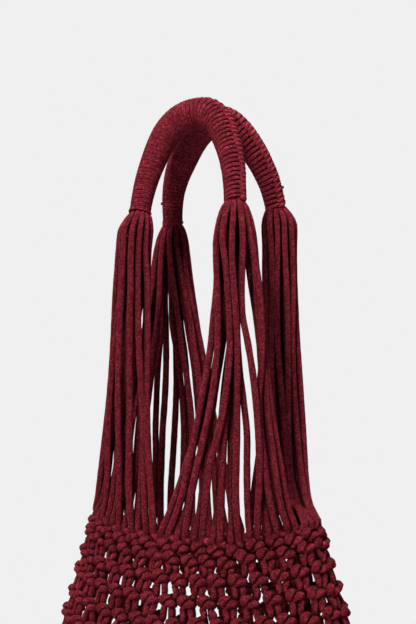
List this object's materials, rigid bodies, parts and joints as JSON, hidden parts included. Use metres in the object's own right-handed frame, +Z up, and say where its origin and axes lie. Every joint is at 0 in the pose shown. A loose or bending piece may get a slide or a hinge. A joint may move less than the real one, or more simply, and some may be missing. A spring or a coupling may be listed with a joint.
{
  "type": "macrame tote bag",
  "caption": "Hanging knotted cotton tote: two cord-wrapped arch handles, a fan of loose cords below each handle end, and an open net body closed by a seam at the bottom.",
  "frame": {"origin": "the point that the bag hangs from: on the underside of both wrapped handles at the top of their arches, between the two", "axes": "+Z up along the bag's length, X along its width, -Y out of its front"},
  "size_m": [0.2896, 0.1292, 0.623],
  "materials": {
    "cord_cotton": "matte knitted cotton cord, wine red",
    "wrap_cotton": "matte cotton cord wound turn against turn, wine red",
    "net_cotton": "matte knotted cotton cord, wine red"
  },
  "bodies": {
    "root": {"cords_front": "cord_cotton", "cords_back": "cord_cotton", "handle_wrap_front": "wrap_cotton", "handle_wrap_back": "wrap_cotton", "net_body": "net_cotton"}
  },
  "joints": []
}
